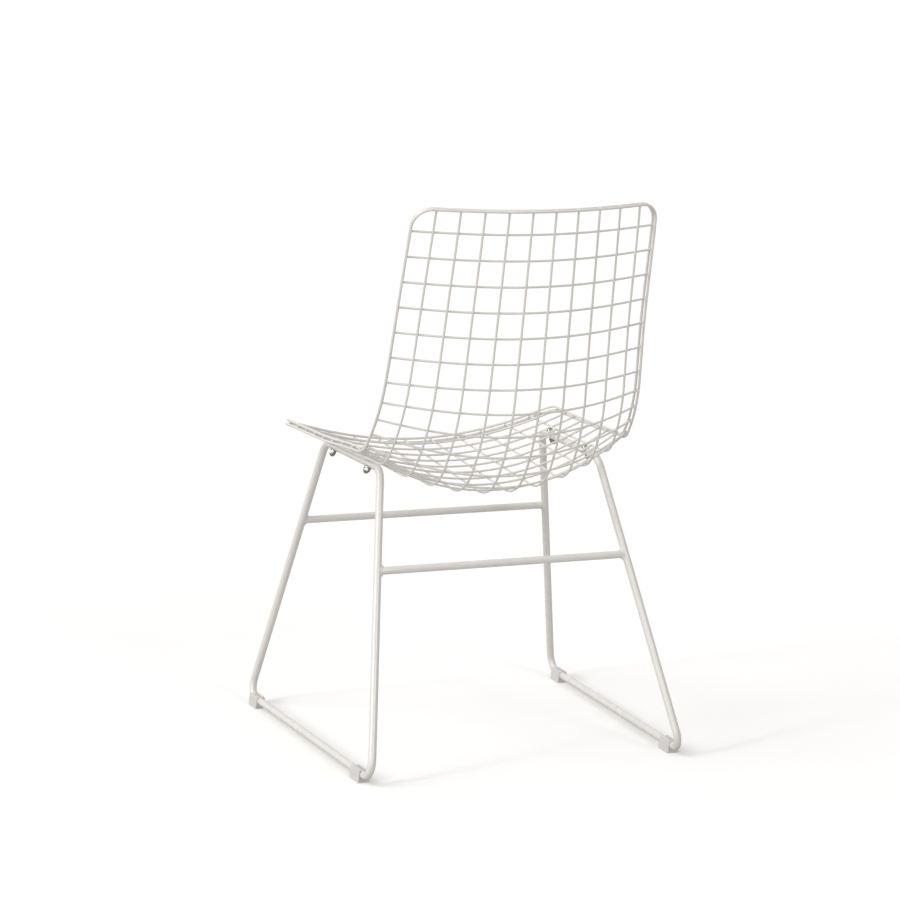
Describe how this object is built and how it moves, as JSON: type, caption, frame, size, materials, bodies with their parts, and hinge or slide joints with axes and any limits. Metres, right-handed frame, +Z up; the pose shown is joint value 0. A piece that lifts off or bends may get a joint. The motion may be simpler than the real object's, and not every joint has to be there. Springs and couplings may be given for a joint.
{
  "type": "wire mesh chair",
  "caption": "Rigid dining chair: a dished shell of welded steel wire mesh with a double wire rim, bolted to two closed rod sled frames with cross stretchers and plastic glides.",
  "frame": {"origin": "on the floor, at the middle of the chair's outline seen from above", "axes": "+Z up; the chair faces -Y; +X is the sitter's left"},
  "size_m": [0.558, 0.637, 0.8559],
  "materials": {
    "powder_coat": "warm off-white satin powder coat over steel wire and rod, smooth weld fillets",
    "fastener_chrome": "bright nickel plated steel, lightly darkened in the recesses",
    "clear_plastic": "translucent, faintly grey moulded plastic with rounded edges"
  },
  "bodies": {
    "root": {"long_wire_01": "powder_coat", "long_wire_02": "powder_coat", "long_wire_03": "powder_coat", "long_wire_04": "powder_coat", "long_wire_05": "powder_coat", "long_wire_06": "powder_coat", "long_wire_07": "powder_coat", "long_wire_08": "powder_coat", "long_wire_09": "powder_coat", "long_wire_10": "powder_coat", "cross_wire_01": "powder_coat", "cross_wire_02": "powder_coat", "cross_wire_03": "powder_coat", "cross_wire_04": "powder_coat", "cross_wire_05": "powder_coat", "cross_wire_06": "powder_coat", "cross_wire_07": "powder_coat", "cross_wire_08": "powder_coat", "cross_wire_09": "powder_coat", "cross_wire_10": "powder_coat", "cross_wire_11": "powder_coat", "cross_wire_12": "powder_coat", "cross_wire_13": "powder_coat", "cross_wire_14": "powder_coat", "cross_wire_15": "powder_coat", "cross_wire_16": "powder_coat", "cross_wire_17": "powder_coat", "cross_wire_18": "powder_coat", "cross_wire_19": "powder_coat", "cross_wire_20": "powder_coat", "cross_wire_21": "powder_coat", "rim_wire_inner": "powder_coat", "rim_wire_outer": "powder_coat", "left_leg_frame": "powder_coat", "right_leg_frame": "powder_coat", "front_stretcher": "powder_coat", "rear_stretcher": "powder_coat", "seat_plate_front_left": "powder_coat", "seat_plate_rear_left": "powder_coat", "seat_plate_front_right": "powder_coat", "seat_plate_rear_right": "powder_coat", "mounting_bolts": "fastener_chrome", "mounting_washers": "fastener_chrome", "cap_nuts": "fastener_chrome", "glide_front_left": "clear_plastic", "glide_rear_left": "clear_plastic", "glide_front_right": "clear_plastic", "glide_rear_right": "clear_plastic"}
  },
  "joints": []
}
